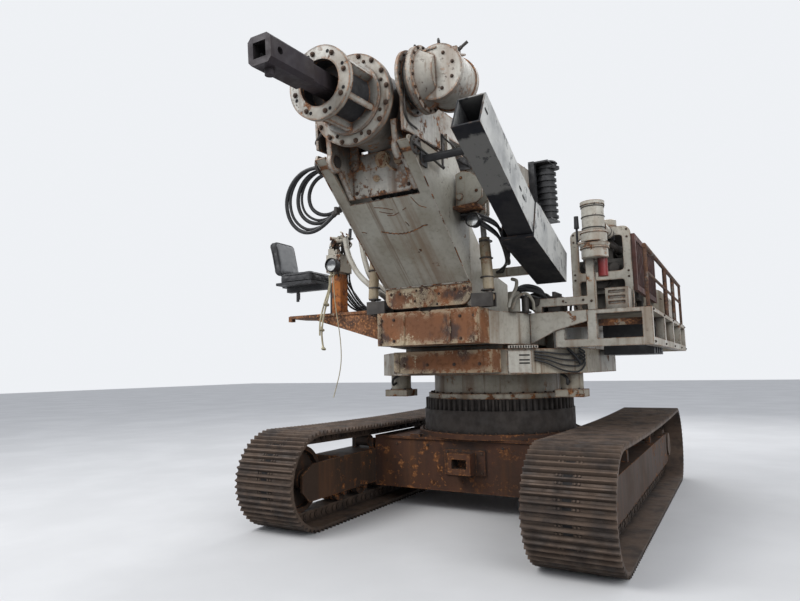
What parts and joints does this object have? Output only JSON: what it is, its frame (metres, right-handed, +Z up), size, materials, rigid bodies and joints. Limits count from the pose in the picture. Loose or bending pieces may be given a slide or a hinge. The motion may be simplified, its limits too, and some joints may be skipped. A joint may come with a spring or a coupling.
{
  "type": "tracked pressure digger",
  "caption": "White tracked pressure digger with a tilting arm and a drooping drill head whose square kelly bar points over the front of its tracks.",
  "frame": {"origin": "middle of the machine's outer box, on the ground", "axes": "+Z up, front (kelly tip) towards -Y, +X towards the machine's left"},
  "size_m": [4.0568, 6.8332, 4.2756],
  "materials": {
    "white_paint": "worn gloss",
    "track_steel": "worn, dusty",
    "dark_frame": "matt",
    "rusty_steel": "rusty",
    "dark_steel": "oily",
    "engine_paint": "satin",
    "black_paint": "satin",
    "tank_paint": "satin",
    "gold_paint": "gloss",
    "rod_chrome": "polished",
    "seat_vinyl": "soft",
    "hose_rubber": "matt",
    "pale_rope": "twisted"
  },
  "bodies": {
    "undercarriage": {"track_left": "track_steel", "track_right": "track_steel", "track_frames": "dark_frame", "sprockets": "dark_frame", "idlers": "dark_frame", "track_rollers": "dark_frame", "car_body": "dark_frame", "tow_hitch": "dark_frame", "swing_ring": "rusty_steel"},
    "upper": {"revolving_base": "white_paint", "swing_motors": "dark_steel", "lower_bumper": "rusty_steel", "front_beam": "white_paint", "deck_frame": "white_paint", "side_platform": "white_paint", "upright_frame": "white_paint", "air_cleaner": "black_paint", "handrails": "white_paint", "engine": "engine_paint", "engine_frame": "white_paint", "side_grille": "rusty_steel", "battery_box": "black_paint", "rear_tank": "tank_paint", "operator_platform": "white_paint", "seat_post": "white_paint", "seat_cushion": "seat_vinyl", "seat_back": "seat_vinyl", "controls": "black_paint", "guard_tubes": "white_paint", "left_lamp": "black_paint", "rope": "pale_rope", "thin_line": "pale_rope", "tilt_bearings": "dark_steel"},
    "arm": {"arm_box": "white_paint", "arm_foot": "white_paint", "tilt_frame": "white_paint", "shaft_guard": "white_paint", "pivot_pins": "dark_steel", "right_lamp": "white_paint", "tilt_brackets": "white_paint", "hose_fittings": "dark_steel", "hose_1": "hose_rubber", "hose_2": "hose_rubber", "hose_3": "hose_rubber"},
    "tilt_barrel_left": {"tilt_barrel_left": "gold_paint"},
    "tilt_barrel_right": {"tilt_barrel_right": "gold_paint"},
    "tilt_rod_left": {"tilt_rod_left": "rod_chrome"},
    "tilt_rod_right": {"tilt_rod_right": "rod_chrome"},
    "lift_barrels": {"lift_barrels": "black_paint"},
    "lift_rods": {"lift_rods": "rod_chrome"},
    "mast": {"rotary_case": "white_paint", "head_cheeks": "white_paint", "head_lugs": "white_paint", "elbow_gearbox": "white_paint", "mast_frame": "white_paint", "crowd_barrels": "black_paint", "mast_tail": "dark_steel"},
    "quill": {"quill": "dark_steel"},
    "kelly": {"kelly": "rusty_steel"},
    "crosshead": {"crosshead": "dark_steel"}
  },
  "joints": [
    {"name": "swing", "type": "hinge", "parent": "undercarriage", "child": "upper", "pos_m": [0.0984, 0.81659, 1.235], "axis": [0, 0, 1], "continuous": true},
    {"name": "arm_tilt", "type": "hinge", "parent": "upper", "child": "arm", "pos_m": [0.0984, -1.05341, 2.275], "axis": [0, 1, 0], "range_deg": [-4, 4]},
    {"name": "mast_raise", "type": "hinge", "parent": "arm", "child": "mast", "pos_m": [0.0984, -2.11341, 3.38], "axis": [1, 0, 0], "range_deg": [0, 86]},
    {"name": "quill_spin", "type": "hinge", "parent": "mast", "child": "quill", "pos_m": [0.0984, -2.30232, 3.78782], "axis": [0, -0.9976, -0.0698], "continuous": true},
    {"name": "kelly_feed", "type": "slide", "parent": "quill", "child": "kelly", "axis": [0, -0.9976, -0.0698], "range_m": [0, 1.35]},
    {"name": "crosshead_slide", "type": "slide", "parent": "mast", "child": "crosshead", "axis": [0, -0.9976, -0.0698], "range_m": [0, 1.35]},
    {"name": "tilt_barrel_left_swivel", "type": "hinge", "parent": "upper", "child": "tilt_barrel_left", "pos_m": [0.7384, -1.01841, 2.235], "axis": [0, 1, 0], "range_deg": [-3.69, 3.69]},
    {"name": "tilt_rod_left_slide", "type": "slide", "parent": "tilt_barrel_left", "child": "tilt_rod_left", "axis": [-0.0612, 0, 0.9981], "range_m": [-0.04529, 0.04529]},
    {"name": "tilt_barrel_right_swivel", "type": "hinge", "parent": "upper", "child": "tilt_barrel_right", "pos_m": [-0.5416, -1.01841, 2.235], "axis": [0, 1, 0], "range_deg": [-3.69, 3.69]},
    {"name": "tilt_rod_right_slide", "type": "slide", "parent": "tilt_barrel_right", "child": "tilt_rod_right", "axis": [0.0612, 0, 0.9981], "range_m": [-0.04529, 0.04529]},
    {"name": "lift_barrel_swivel", "type": "hinge", "parent": "arm", "child": "lift_barrels", "pos_m": [0.0984, 0.31659, 2.42], "axis": [1, 0, 0], "range_deg": [-3.73, 0.01]},
    {"name": "lift_rod_slide", "type": "slide", "parent": "lift_barrels", "child": "lift_rods", "axis": [0, -0.8754, 0.4834], "range_m": [-0.001, 0.8047]}
  ],
  "couplings": [
    {"joint": "crosshead_slide", "follows": "kelly_feed", "ratio": 1},
    {"joint": "tilt_barrel_left_swivel", "follows": "arm_tilt", "ratio": 0.90436},
    {"joint": "tilt_rod_left_slide", "follows": "arm_tilt", "m_per_rad": -0.63597},
    {"joint": "tilt_barrel_right_swivel", "follows": "arm_tilt", "ratio": 0.90436},
    {"joint": "tilt_rod_right_slide", "follows": "arm_tilt", "m_per_rad": 0.63597},
    {"joint": "lift_barrel_swivel", "follows": "mast_raise", "ratio": -0.042819},
    {"joint": "lift_rod_slide", "follows": "mast_raise", "m_per_rad": 0.53503}
  ]
}
